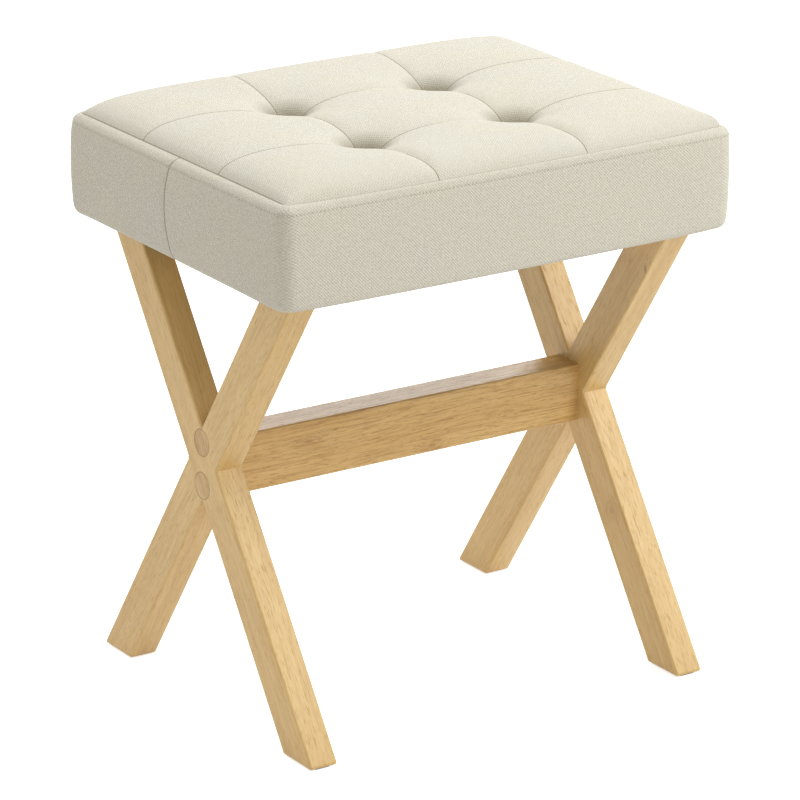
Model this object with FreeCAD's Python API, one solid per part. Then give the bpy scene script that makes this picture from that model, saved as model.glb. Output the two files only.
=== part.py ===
"""A vanity stool: two crossed-leg frames, a stretcher between them and a tufted seat.

Millimetres. The origin is on the floor under the middle of the stool, +Z is up, X runs along the
stretcher and the long side of the seat, and the front of the stool faces -Y.
"""
import FreeCAD
import Part
import math
import os

V = FreeCAD.Vector
UP = V(0, 0, 1)
ALONG_X = V(1, 0, 0)

# Legs: two bars crossed in each frame, with a flush half lap; each frame is set back from the
# seat's widest end
LEG_WIDTH = 33.0
LEG_THICKNESS = 23.4
LEG_LEAN = 34.3
FRAME_SETBACK = 21.2
CROSS_Z = 195.3
SEAT_UNDERSIDE_Z = 357.0
WOOD_EASE = 1.8

# Stretcher
STRETCHER_THICKNESS = 28.8
STRETCHER_HEIGHT = 46.4
STRETCHER_BELOW_CROSS = 0.8

# Plugs over the screws that hold the stretcher
PLUG_SPACING = 34.2
PLUG_DIAMETER = 21.8
PLUG_DEPTH = 6.0
PLUG_EDGE = 0.3

# Screws, dowels, bolts; slot, dome and socket as shares of their heads
FRAME_SCREW_LENGTH = 50.0
FRAME_SCREW_DIAMETER = 4.4
FRAME_SCREW_HEAD = 9.0
DOWEL_DIAMETER = 8.0
DOWEL_IN_LEG = 10.5
DOWEL_IN_STRETCHER = 25.5
RAIL_SCREW_LENGTH = 35.0
RAIL_SCREW_DIAMETER = 4.0
RAIL_SCREW_HEAD = 8.0
RAIL_SCREW_SPACING = 12.0
BOLT_DIAMETER = 6.0
BOLT_LENGTH = 30.0
BOLT_HEAD_DIAMETER = 10.5
BOLT_HEAD_HEIGHT = 3.3
BOLT_SOCKET = 4.0
BOLT_SPACING_Y = 120.0
WASHER_DIAMETER = 12.5
WASHER_THICKNESS = 1.2
TNUT_FLANGE_DIAMETER = 19.0
TNUT_FLANGE_THICKNESS = 1.2
TNUT_BARREL_DIAMETER = 7.8
TNUT_BARREL_LENGTH = 9.0
CROSS_SLOT_REACH = 0.28
CROSS_SLOT_HALF_WIDTH = 0.06
CROSS_SLOT_DEPTH = 0.8
DOME_FLAT = 0.55
DOME_SHOULDER_OUT = 0.88
DOME_SHOULDER_DOWN = 0.62
SOCKET_DEPTH = 0.6
FASTENER_CLEARANCE = 0.1
HOLE_END_CLEARANCE = 0.6

# Rails that join each frame's leg tops under the seat
RAIL_HEIGHT = 14.0
RAIL_THICKNESS = 20.0
RAIL_END_INSET = 12.0

# Foot pads
PAD_THICKNESS = 1.0
PAD_INSET = 4.0
PAD_CORNER = 3.0

# Seat: board, dust cover and cloth
DUST_COVER_THICKNESS = 0.6
DUST_COVER_INSET = 10.0
CLOTH = 1.2
HEM_WIDTH = 32.0
BOARD_THICKNESS = 12.0
BOARD_SETBACK = 6.0
BOARD_CORNER = 8.0
FOAM_CLEARANCE = 0.2

# Seat: the padded block, measured at its widest level and at the corners
SEAT_LENGTH = 399.6
SEAT_WIDTH = 309.0
SEAT_CORNER = 12.0
SEAT_BOW = 1.2
BAND_HEIGHT = 78.4
WIDEST_ABOVE_HEM = 37.4
HEM_DRAW_IN = 1.5
SEAM_DRAW_IN = 1.0
HEM_ROUND = 4.0
SEAM_ROUND = 7.0

# Seat: the crown above the seam, sewn channels and tufts
CROWN_RISE = 14.0
CROWN_RUN_X = 80.0
CROWN_RUN_Y = 30.0
CROWN_FOOT = 0.3
CHANNEL_DEPTH = 3.2
TUFT_X = 65.0
TUFT_Y = 54.6
TUFT_RADIUS = 50.0
TUFT_DEPTH = 30.0
TWINE_DIAMETER = 2.0
TUFT_WASHER_DIAMETER = 15.0
TUFT_WASHER_THICKNESS = 1.6
KNOT_DIAMETER = 4.0

# Staples
STAPLE_CROWN = 10.0
STAPLE_WIRE = 0.6
STAPLE_BREADTH = 1.0
STAPLE_LEG = 7.0
STAPLE_PITCH = 46.0
HEM_STAPLE_INSET = 16.0
DUST_STAPLE_INSET = 4.0

# Levels and places that follow
LEAN = math.radians(LEG_LEAN)
LEG_HALF_RUN = LEG_WIDTH / 2 / math.cos(LEAN)
FRAME_OUTER_X = SEAT_LENGTH / 2 - FRAME_SETBACK
FRAME_INNER_X = FRAME_OUTER_X - LEG_THICKNESS
LAP_X = FRAME_OUTER_X - LEG_THICKNESS / 2
STRETCHER_Z = CROSS_Z - STRETCHER_BELOW_CROSS
RAIL_TOP_Z = SEAT_UNDERSIDE_Z
RAIL_MID_Z = RAIL_TOP_Z - RAIL_HEIGHT / 2
RAIL_MID_X = FRAME_INNER_X - RAIL_THICKNESS / 2
HEM_Z = SEAT_UNDERSIDE_Z + DUST_COVER_THICKNESS
WIDEST_Z = HEM_Z + WIDEST_ABOVE_HEM
SEAM_Z = HEM_Z + BAND_HEIGHT
BOARD_LENGTH = SEAT_LENGTH - 2 * BOARD_SETBACK
BOARD_WIDTH = SEAT_WIDTH - 2 * BOARD_SETBACK
BOARD_Z = HEM_Z + CLOTH
BOARD_TOP_Z = BOARD_Z + BOARD_THICKNESS
CROWN_Z = SEAM_Z + CROWN_RISE
CROWN_HALF_LENGTH = SEAT_LENGTH / 2 - SEAM_DRAW_IN - SEAM_ROUND
CROWN_HALF_WIDTH = SEAT_WIDTH / 2 - SEAM_DRAW_IN - SEAM_ROUND
CROWN_CORNER = SEAT_CORNER - SEAM_ROUND
TUFT_PLACES = [(sx * TUFT_X, sy * TUFT_Y) for sx in (-1, 1) for sy in (-1, 1)]
BOLT_PLACES = [(sx * RAIL_MID_X, sy * BOLT_SPACING_Y / 2) for sx in (-1, 1) for sy in (-1, 1)]


def leg_centre_y(z):
    """Distance from the middle plane to a leg's centre line at height z."""
    return (z - CROSS_Z) * math.tan(LEAN)


def mirrored(shape):
    return shape.mirror(V(0, 0, 0), ALONG_X)


def box(x0, x1, y0, y1, z0, z1):
    return Part.makeBox(x1 - x0, y1 - y0, z1 - z0, V(x0, y0, z0))


def rounded_box(half_x, half_y, z0, z1, corner, centre=(0, 0)):
    """A plate with its four upright edges rounded."""
    cx, cy = centre
    plate = box(cx - half_x, cx + half_x, cy - half_y, cy + half_y, z0, z1)
    upright = [e for e in plate.Edges if abs(e.BoundBox.ZLength - (z1 - z0)) < 1e-6]
    return plate.makeFillet(corner, upright)


def polygon_prism(points, direction):
    return Part.Face(Part.makePolygon(points + points[:1])).extrude(direction)


def turned(profile, base, axis):
    """A solid turned from (along, radius) points, standing at base along axis."""
    points = [V(radius, 0, along) for along, radius in profile]
    solid = Part.Face(Part.makePolygon(points + points[:1])).revolve(V(0, 0, 0), UP, 360)
    solid.Placement = FreeCAD.Placement(base, FreeCAD.Rotation(UP, axis))
    return solid


# Crossed legs

def leg_bar(lean):
    """A square-edged leg of the right frame; lean +1 puts its top at the back, -1 at the front."""
    foot_y = lean * leg_centre_y(PAD_THICKNESS)
    top_y = lean * leg_centre_y(SEAT_UNDERSIDE_Z)
    points = [
        V(FRAME_INNER_X, foot_y - LEG_HALF_RUN, PAD_THICKNESS),
        V(FRAME_INNER_X, foot_y + LEG_HALF_RUN, PAD_THICKNESS),
        V(FRAME_INNER_X, top_y + LEG_HALF_RUN, SEAT_UNDERSIDE_Z),
        V(FRAME_INNER_X, top_y - LEG_HALF_RUN, SEAT_UNDERSIDE_Z),
    ]
    return polygon_prism(points, V(LEG_THICKNESS, 0, 0))


def eased(bar, top_z):
    """The bar with every edge rounded except those of its top end."""
    edges = [e for e in bar.Edges if e.BoundBox.ZMin < top_z - 1]
    return bar.makeFillet(WOOD_EASE, edges)


def frame_hole_tools():
    """Plug recesses, screw holes and the dowel hole of the right frame and the stretcher's end."""
    tools = []
    recess_x = FRAME_OUTER_X - PLUG_DEPTH
    for side in (-1, 1):
        z = CROSS_Z + side * PLUG_SPACING / 2
        recess = Part.makeCylinder(PLUG_DIAMETER / 2, PLUG_DEPTH + 1, V(recess_x, 0, z), ALONG_X)
        tools.append(recess)
        tools.append(screw_hole(FRAME_SCREW_LENGTH, FRAME_SCREW_DIAMETER, FRAME_SCREW_HEAD,
                                V(recess_x, 0, z), V(-1, 0, 0)))
    tools.append(dowel_hole())
    return tools


def leg(lean):
    """One leg; the leg whose top is at the back keeps its outer half through the lap."""
    own = leg_bar(lean)
    other = leg_bar(-lean)
    crossing = own.common(other)
    body = eased(own, SEAT_UNDERSIDE_Z).fuse(crossing)
    reach = LEG_WIDTH * 2
    if lean > 0:
        given_up = box(FRAME_INNER_X - 1, LAP_X, -reach, reach, CROSS_Z - reach, CROSS_Z + reach)
    else:
        given_up = box(LAP_X, FRAME_OUTER_X + 1, -reach, reach, CROSS_Z - reach, CROSS_Z + reach)
    body = body.cut(crossing.common(given_up))
    tools = frame_hole_tools() + [rail_screw_hole(y) for y in rail_screw_ys()]
    return body.cut(tools).removeSplitter()


def stretcher():
    half_y = STRETCHER_THICKNESS / 2
    half_z = STRETCHER_HEIGHT / 2
    bar = box(-FRAME_INNER_X, FRAME_INNER_X, -half_y, half_y,
              STRETCHER_Z - half_z, STRETCHER_Z + half_z)
    long_edges = [e for e in bar.Edges if e.BoundBox.XLength > FRAME_INNER_X]
    bar = bar.makeFillet(WOOD_EASE, long_edges)
    right_tools = frame_hole_tools()
    return bar.cut(right_tools + [mirrored(tool) for tool in right_tools])


def wood_plugs():
    """Four plugs, flush with the frames' outer faces, with a fine chamfer on the outer rim."""
    radius = PLUG_DIAMETER / 2
    profile = [(0, 0), (0, radius), (PLUG_DEPTH - PLUG_EDGE, radius),
               (PLUG_DEPTH, radius - PLUG_EDGE), (PLUG_DEPTH, 0)]
    plugs = []
    for side in (-1, 1):
        base = V(FRAME_OUTER_X - PLUG_DEPTH, 0, CROSS_Z + side * PLUG_SPACING / 2)
        plug = turned(profile, base, ALONG_X)
        plugs += [plug, mirrored(plug)]
    return Part.makeCompound(plugs)


# Screws and dowels

def head_depth(diameter, head):
    """Depth of a 90 degree countersunk head."""
    return (head - diameter) / 2


def wood_screw(length, diameter, head, base, axis):
    """A countersunk screw with a cross slot, its head's face at base."""
    shank = diameter / 2
    depth = head_depth(diameter, head)
    profile = [(0, 0), (0, head / 2), (depth, shank), (length - diameter, shank), (length, 0)]
    screw = turned(profile, base, axis)
    slot_long = head * CROSS_SLOT_REACH
    slot_thin = head * CROSS_SLOT_HALF_WIDTH
    slot_deep = depth * CROSS_SLOT_DEPTH
    for half_x, half_y in ((slot_long, slot_thin), (slot_thin, slot_long)):
        slot = box(-half_x, half_x, -half_y, half_y, -1, slot_deep)
        slot.Placement = FreeCAD.Placement(base, FreeCAD.Rotation(UP, axis))
        screw = screw.cut(slot)
    return screw


def screw_hole(length, diameter, head, base, axis):
    """The countersunk hole that a wood screw sits in."""
    radius = diameter / 2 + FASTENER_CLEARANCE
    depth = head_depth(diameter, head)
    profile = [(0, 0), (0, head / 2), (depth - FASTENER_CLEARANCE, radius),
               (length + HOLE_END_CLEARANCE, radius), (length + HOLE_END_CLEARANCE, 0)]
    return turned(profile, base, axis)


def stretcher_screws():
    screws = []
    for side in (-1, 1):
        base = V(FRAME_OUTER_X - PLUG_DEPTH, 0, CROSS_Z + side * PLUG_SPACING / 2)
        screw = wood_screw(FRAME_SCREW_LENGTH, FRAME_SCREW_DIAMETER, FRAME_SCREW_HEAD,
                           base, V(-1, 0, 0))
        screws += [screw, mirrored(screw)]
    return Part.makeCompound(screws)


def dowel_hole():
    start = FRAME_INNER_X - DOWEL_IN_STRETCHER - HOLE_END_CLEARANCE
    length = DOWEL_IN_STRETCHER + DOWEL_IN_LEG + 2 * HOLE_END_CLEARANCE
    radius = DOWEL_DIAMETER / 2 + FASTENER_CLEARANCE
    return Part.makeCylinder(radius, length, V(start, 0, STRETCHER_Z), ALONG_X)


def stretcher_dowels():
    length = DOWEL_IN_STRETCHER + DOWEL_IN_LEG
    dowel = Part.makeCylinder(DOWEL_DIAMETER / 2, length,
                              V(FRAME_INNER_X - DOWEL_IN_STRETCHER, 0, STRETCHER_Z), ALONG_X)
    dowel = dowel.makeChamfer(DOWEL_DIAMETER / 10, dowel.Edges[:1] + dowel.Edges[2:3])
    return Part.makeCompound([dowel, mirrored(dowel)])


# Seat rails

def rail_end_y(z):
    """Where a rail's end meets height z, set in from the leg's outer edge and parallel to it."""
    return leg_centre_y(z) + LEG_HALF_RUN - RAIL_END_INSET


def rail_screw_ys():
    """Places of one rail's screws along Y: two in each leg, centred on the shared face."""
    inner = leg_centre_y(RAIL_MID_Z) - LEG_HALF_RUN
    middle = (inner + rail_end_y(RAIL_MID_Z)) / 2
    half = RAIL_SCREW_SPACING / 2
    return [side * (middle + step) for side in (-1, 1) for step in (-half, half)]


def rail_screw_hole(y):
    return screw_hole(RAIL_SCREW_LENGTH, RAIL_SCREW_DIAMETER, RAIL_SCREW_HEAD,
                      V(FRAME_INNER_X - RAIL_THICKNESS, y, RAIL_MID_Z), ALONG_X)


def rail():
    """The right frame's rail."""
    x = FRAME_INNER_X - RAIL_THICKNESS
    low = RAIL_TOP_Z - RAIL_HEIGHT
    points = [
        V(x, -rail_end_y(low), low),
        V(x, rail_end_y(low), low),
        V(x, rail_end_y(RAIL_TOP_Z), RAIL_TOP_Z),
        V(x, -rail_end_y(RAIL_TOP_Z), RAIL_TOP_Z),
    ]
    bar = polygon_prism(points, V(RAIL_THICKNESS, 0, 0))
    tools = [rail_screw_hole(y) for y in rail_screw_ys()]
    radius = BOLT_DIAMETER / 2 + FASTENER_CLEARANCE
    for side in (-1, 1):
        base = V(RAIL_MID_X, side * BOLT_SPACING_Y / 2, low - 1)
        tools.append(Part.makeCylinder(radius, RAIL_HEIGHT + 2, base))
    return bar.cut(tools)


def rail_screws():
    base_x = FRAME_INNER_X - RAIL_THICKNESS
    screws = []
    for y in rail_screw_ys():
        screw = wood_screw(RAIL_SCREW_LENGTH, RAIL_SCREW_DIAMETER, RAIL_SCREW_HEAD,
                           V(base_x, y, RAIL_MID_Z), ALONG_X)
        screws += [screw, mirrored(screw)]
    return Part.makeCompound(screws)


# Seat bolts

def washer_z():
    return RAIL_TOP_Z - RAIL_HEIGHT - WASHER_THICKNESS


def seat_bolts():
    """Domed socket-head bolts that come up through the rails."""
    head_r = BOLT_HEAD_DIAMETER / 2
    flat_r = head_r * DOME_FLAT
    shank_r = BOLT_DIAMETER / 2
    start = V(flat_r, 0, -BOLT_HEAD_HEIGHT)
    rim = V(head_r, 0, 0)
    bulge = V(head_r * DOME_SHOULDER_OUT, 0, -BOLT_HEAD_HEIGHT * DOME_SHOULDER_DOWN)
    outline = [
        Part.makeLine(V(0, 0, -BOLT_HEAD_HEIGHT), start),
        Part.Arc(start, bulge, rim).toShape(),
        Part.makePolygon([rim, V(shank_r, 0, 0), V(shank_r, 0, BOLT_LENGTH - 1),
                          V(shank_r - 1, 0, BOLT_LENGTH), V(0, 0, BOLT_LENGTH),
                          V(0, 0, -BOLT_HEAD_HEIGHT)]),
    ]
    edges = [edge for piece in outline for edge in piece.Edges]
    bolt = Part.Face(Part.Wire(edges)).revolve(V(0, 0, 0), UP, 360)
    corner = BOLT_SOCKET / 2 / math.cos(math.pi / 6)
    socket = polygon_prism([V(corner * math.cos(k * math.pi / 3), corner * math.sin(k * math.pi / 3),
                              -BOLT_HEAD_HEIGHT - 1) for k in range(6)],
                           V(0, 0, BOLT_HEAD_HEIGHT * SOCKET_DEPTH + 1))
    bolt = bolt.cut(socket)
    return Part.makeCompound([bolt.translated(V(x, y, washer_z())) for x, y in BOLT_PLACES])


def ring(outer, inner, height, base):
    disc = Part.makeCylinder(outer / 2, height, base)
    return disc.cut(Part.makeCylinder(inner / 2, height, base))


def bolt_washers():
    hole = BOLT_DIAMETER + 4 * FASTENER_CLEARANCE
    return Part.makeCompound([ring(WASHER_DIAMETER, hole, WASHER_THICKNESS, V(x, y, washer_z()))
                              for x, y in BOLT_PLACES])


def seat_nuts():
    """Flanged nuts that sit on the board with their barrels down in it."""
    hole = BOLT_DIAMETER + 2 * FASTENER_CLEARANCE
    nuts = []
    for x, y in BOLT_PLACES:
        flange = ring(TNUT_FLANGE_DIAMETER, hole, TNUT_FLANGE_THICKNESS, V(x, y, BOARD_TOP_Z))
        barrel = ring(TNUT_BARREL_DIAMETER, hole, TNUT_BARREL_LENGTH,
                      V(x, y, BOARD_TOP_Z - TNUT_BARREL_LENGTH))
        nuts.append(flange.fuse(barrel).removeSplitter())
    return Part.makeCompound(nuts)


# Feet

def foot_pads():
    half_x = LEG_THICKNESS / 2 - PAD_INSET
    half_y = LEG_HALF_RUN - PAD_INSET
    pads = []
    for side_x in (-1, 1):
        for side_y in (-1, 1):
            centre = (side_x * LAP_X, side_y * leg_centre_y(PAD_THICKNESS))
            pads.append(rounded_box(half_x, half_y, 0, PAD_THICKNESS, PAD_CORNER, centre))
    return Part.makeCompound(pads)


# Board, dust cover and staples

def cylinders(places, radius, z0, z1):
    return [Part.makeCylinder(radius, z1 - z0, V(x, y, z0)) for x, y in places]


def staple_rows(half_x, half_y, crown_z):
    """Staples along a rectangle, crowns along the edge; a list of (x, y, along_x)."""
    places = []
    for half, other, along_x in ((half_x, half_y, True), (half_y, half_x, False)):
        count = int((2 * half - 2 * STAPLE_CROWN) / STAPLE_PITCH) + 1
        first = -(count - 1) * STAPLE_PITCH / 2
        for index in range(count):
            run = first + index * STAPLE_PITCH
            for side in (-1, 1):
                places.append((run, side * other, True) if along_x else (side * other, run, False))
    return [staple(x, y, crown_z, along_x) for x, y, along_x in places]


def staple(x, y, crown_z, along_x):
    """A staple driven upwards, its crown's underside at crown_z."""
    half = STAPLE_CROWN / 2
    breadth = STAPLE_BREADTH / 2
    shape = box(-half, half, -breadth, breadth, 0, STAPLE_WIRE)
    for side in (-1, 1):
        inner, outer = sorted((side * half, side * (half - STAPLE_WIRE)))
        shape = shape.fuse(box(inner, outer, -breadth, breadth, 0, STAPLE_LEG))
    shape = shape.removeSplitter()
    if not along_x:
        shape.rotate(V(0, 0, 0), UP, 90)
    return shape.translated(V(x, y, crown_z))


def dust_cover_half_sizes():
    return (BOARD_LENGTH / 2 - DUST_COVER_INSET, BOARD_WIDTH / 2 - DUST_COVER_INSET)


def dust_staple_list():
    half_x, half_y = dust_cover_half_sizes()
    return staple_rows(half_x - DUST_STAPLE_INSET, half_y - DUST_STAPLE_INSET,
                       SEAT_UNDERSIDE_Z - STAPLE_WIRE)


def hem_staple_list():
    return staple_rows(BOARD_LENGTH / 2 - HEM_STAPLE_INSET, BOARD_WIDTH / 2 - HEM_STAPLE_INSET,
                       HEM_Z)


def dust_cover(staples):
    half_x, half_y = dust_cover_half_sizes()
    sheet = rounded_box(half_x, half_y, SEAT_UNDERSIDE_Z, HEM_Z, BOARD_CORNER)
    holes = cylinders(BOLT_PLACES, BOLT_DIAMETER / 2 + 2 * FASTENER_CLEARANCE,
                      SEAT_UNDERSIDE_Z - 1, HEM_Z + 1)
    return sheet.cut(holes + staples)


def seat_board(staples):
    board = rounded_box(BOARD_LENGTH / 2, BOARD_WIDTH / 2, BOARD_Z, BOARD_TOP_Z, BOARD_CORNER)
    holes = cylinders(BOLT_PLACES, TNUT_BARREL_DIAMETER / 2 + FASTENER_CLEARANCE,
                      BOARD_Z - 1, BOARD_TOP_Z + 1)
    holes += cylinders(TUFT_PLACES, TWINE_DIAMETER, BOARD_Z - 1, BOARD_TOP_Z + 1)
    holes += cylinders(TUFT_PLACES, TUFT_WASHER_DIAMETER / 2 + FASTENER_CLEARANCE,
                       BOARD_Z - 1, BOARD_Z + TUFT_WASHER_THICKNESS)
    return board.cut(holes + staples)


# Padded block

def outline(z, half_x, half_y, corner, bow):
    """A level outline: a rectangle with rounded corners and slightly bowed sides."""
    flat_x = half_x - corner
    flat_y = half_y - corner
    diagonal = corner * math.sqrt(0.5)
    edges = []
    for side in (-1, 1):
        edges += [
            Part.Arc(V(-side * flat_x, side * half_y, z), V(0, side * (half_y + bow), z),
                     V(side * flat_x, side * half_y, z)),
            Part.Arc(V(side * flat_x, side * half_y, z),
                     V(side * (flat_x + diagonal), side * (flat_y + diagonal), z),
                     V(side * half_x, side * flat_y, z)),
            Part.Arc(V(side * half_x, side * flat_y, z), V(side * (half_x + bow), 0, z),
                     V(side * half_x, -side * flat_y, z)),
            Part.Arc(V(side * half_x, -side * flat_y, z),
                     V(side * (flat_x + diagonal), -side * (flat_y + diagonal), z),
                     V(side * flat_x, -side * half_y, z)),
        ]
    return Part.Wire(Part.__sortEdges__([edge.toShape() for edge in edges]))


def side_block(low, high, skin):
    """The padded block between two levels, its sides skin inside the outer surface."""
    wires = []
    for z, draw_in in ((low, HEM_DRAW_IN), (WIDEST_Z, 0.0), (high, SEAM_DRAW_IN)):
        inset = draw_in + skin
        wires.append(outline(z, SEAT_LENGTH / 2 - inset, SEAT_WIDTH / 2 - inset,
                             SEAT_CORNER - skin, SEAT_BOW))
    block = Part.makeLoft(wires, True, False)
    for z, radius in ((low, HEM_ROUND), (high, SEAM_ROUND)):
        rim = [e for e in block.Edges if abs(e.BoundBox.ZMin - z) < 0.01 and e.BoundBox.ZLength < 0.01]
        block = block.makeFillet(radius - skin, rim)
    return block


def crown_prism(skin):
    """An upright prism on the crown's outline, starting skin below the seam and skin inside it."""
    wire = outline(SEAM_Z - skin, CROWN_HALF_LENGTH - skin, CROWN_HALF_WIDTH - skin,
                   CROWN_CORNER - skin, SEAT_BOW)
    return Part.Face(wire).extrude(V(0, 0, 2 * CROWN_RISE))


def arch(half, run):
    """Half profile of the crown along one axis: points of its rim arc and its highest level."""
    radius = (run ** 2 + CROWN_RISE ** 2) / (2 * CROWN_RISE)
    middle = half - run / 2
    level = CROWN_Z - radius + math.sqrt(radius ** 2 - (run / 2) ** 2)
    return (half, SEAM_Z), (middle, level), (half - run, CROWN_Z)


def arched_prism(along_x):
    """The space under the crown's rims at both ends of one axis, as wide as the seat."""
    half, run = (CROWN_HALF_LENGTH, CROWN_RUN_X) if along_x else (CROWN_HALF_WIDTH, CROWN_RUN_Y)
    half += SEAT_BOW + CROWN_FOOT
    far = SEAT_LENGTH

    def place(run_out, z):
        return V(run_out, -far, z) if along_x else V(-far, run_out, z)

    low, middle, high = arch(half, run)
    edges = [
        Part.Arc(place(*low), place(*middle), place(*high)).toShape(),
        Part.makeLine(place(*high), place(-high[0], high[1])),
        Part.Arc(place(-high[0], high[1]), place(-middle[0], middle[1]),
                 place(-low[0], low[1])).toShape(),
        Part.makeLine(place(-low[0], low[1]), place(*low)),
    ]
    direction = V(0, 2 * far, 0) if along_x else V(2 * far, 0, 0)
    return Part.Face(Part.Wire(edges)).extrude(direction)


def panel_dome(middle_x, y0, y1):
    """A panel's pillow: an arc across Y, turned about a far axis so that it falls along X too."""
    radius = (TUFT_X ** 2 + CHANNEL_DEPTH ** 2) / (2 * CHANNEL_DEPTH)
    floor = SEAM_Z - CROWN_RISE
    rim = CROWN_Z - CHANNEL_DEPTH
    across = [
        Part.Arc(V(middle_x, y0, rim), V(middle_x, (y0 + y1) / 2, CROWN_Z),
                 V(middle_x, y1, rim)).toShape(),
        Part.makePolygon([V(middle_x, y1, rim), V(middle_x, y1, floor), V(middle_x, y0, floor),
                          V(middle_x, y0, rim)]),
    ]
    face = Part.Face(Part.Wire([edge for piece in across for edge in piece.Edges]))
    half_turn = math.degrees(math.asin(TUFT_X / radius)) + 1
    axis_at = V(middle_x, 0, CROWN_Z - radius)
    face.rotate(axis_at, V(0, 1, 0), -half_turn)
    return face.revolve(axis_at, V(0, 1, 0), 2 * half_turn)


def tuft_cutter(x, y):
    """A round hollow whose flank is an arc that steepens towards the tuft."""
    radius = (TUFT_RADIUS ** 2 + TUFT_DEPTH ** 2) / (2 * TUFT_DEPTH)
    rim = V(TUFT_RADIUS, 0, CROWN_Z)
    middle = V(TUFT_RADIUS / 2, 0, CROWN_Z - radius + math.sqrt(radius ** 2 - (TUFT_RADIUS / 2) ** 2))
    deepest = V(0, 0, CROWN_Z - TUFT_DEPTH)
    edges = [
        Part.Arc(deepest, middle, rim).toShape(),
        Part.makePolygon([rim, rim + V(0, 0, CROWN_RISE), V(0, 0, CROWN_Z + CROWN_RISE), deepest]),
    ]
    hollow = Part.Face(Part.Wire([edge for piece in edges for edge in piece.Edges]))
    return hollow.revolve(V(0, 0, 0), UP, 360).translated(V(x, y, 0))


def crown_cells():
    """The crown's nine panels as solid pillows, named by row and column."""
    far_x = CROWN_HALF_LENGTH + SEAT_BOW
    far_y = CROWN_HALF_WIDTH + SEAT_BOW
    columns = (("left", -1, -far_x, -TUFT_X), ("middle", 0, -TUFT_X, TUFT_X), ("right", 1, TUFT_X, far_x))
    rows = (("front", -far_y, -TUFT_Y), ("centre", -TUFT_Y, TUFT_Y), ("back", TUFT_Y, far_y))
    around = crown_prism(0.0).common(arched_prism(True)).common(arched_prism(False))
    cutters = [tuft_cutter(x, y) for x, y in TUFT_PLACES]
    cells = {}
    for row, y0, y1 in rows:
        for column, place, x0, x1 in columns:
            pillow = panel_dome(place * 2 * TUFT_X, y0, y1).common(around)
            pillow = pillow.common(box(x0, x1, y0, y1, SEAM_Z, CROWN_Z + 1))
            cells[row + "_" + column] = pillow.cut(cutters)
    return cells


def sunk(cell, skin):
    """A panel's pillow lowered by skin and drawn in by skin at the seam."""
    return cell.translated(V(0, 0, -skin)).common(crown_prism(skin))


def foam_pad(cells):
    """Foam that rests on the board and wraps its edge."""
    skin = CLOTH + FOAM_CLEARANCE
    pillows = [sunk(cell, skin) for cell in cells.values()]
    body = side_block(BOARD_Z, SEAM_Z - skin, skin).multiFuse(pillows).removeSplitter()
    tools = [rounded_box(BOARD_LENGTH / 2, BOARD_WIDTH / 2, BOARD_Z - 1, BOARD_TOP_Z,
                         BOARD_CORNER)]
    tools += cylinders(BOLT_PLACES, TNUT_FLANGE_DIAMETER / 2 + FOAM_CLEARANCE,
                       BOARD_TOP_Z - 1, BOARD_TOP_Z + 2 * TNUT_FLANGE_THICKNESS)
    tools += cylinders(TUFT_PLACES, TWINE_DIAMETER / 2 + FASTENER_CLEARANCE,
                       BOARD_TOP_Z - 1, CROWN_Z)
    return body.cut(tools)


def cover_band(staples):
    """The side band, with a narrow edge under the panels and its hem turned flat under the board."""
    inside = side_block(BOARD_Z, SEAM_Z - CLOTH, CLOTH)
    band = side_block(HEM_Z, SEAM_Z, 0.0).cut(inside)
    opening = rounded_box(BOARD_LENGTH / 2 - HEM_WIDTH, BOARD_WIDTH / 2 - HEM_WIDTH,
                          HEM_Z - 1, BOARD_Z + 1, BOARD_CORNER)
    return band.cut([crown_prism(CLOTH), opening] + staples)


def cover_panels(cells):
    """The nine panels of the cover's top."""
    return {"cover_panel_" + name: cell.cut(sunk(cell, CLOTH)) for name, cell in cells.items()}


def tuft_twines():
    """Twines from the tufts down through the foam and board to a knot under each washer."""
    low = BOARD_Z - HOLE_END_CLEARANCE
    high = CROWN_Z - TUFT_DEPTH - CLOTH - FOAM_CLEARANCE
    twine = Part.makeCylinder(TWINE_DIAMETER / 2, high - low, V(0, 0, low))
    knot = Part.makeSphere(KNOT_DIAMETER / 2, V(0, 0, BOARD_Z))
    knot = knot.common(box(-KNOT_DIAMETER, KNOT_DIAMETER, -KNOT_DIAMETER, KNOT_DIAMETER,
                           HEM_Z + FASTENER_CLEARANCE, BOARD_Z))
    tied = twine.fuse(knot).removeSplitter()
    return Part.makeCompound([tied.translated(V(x, y, 0)) for x, y in TUFT_PLACES])


def tuft_washers():
    hole = TWINE_DIAMETER + 2 * FASTENER_CLEARANCE
    return Part.makeCompound([ring(TUFT_WASHER_DIAMETER, hole, TUFT_WASHER_THICKNESS,
                                   V(x, y, BOARD_Z)) for x, y in TUFT_PLACES])


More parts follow.
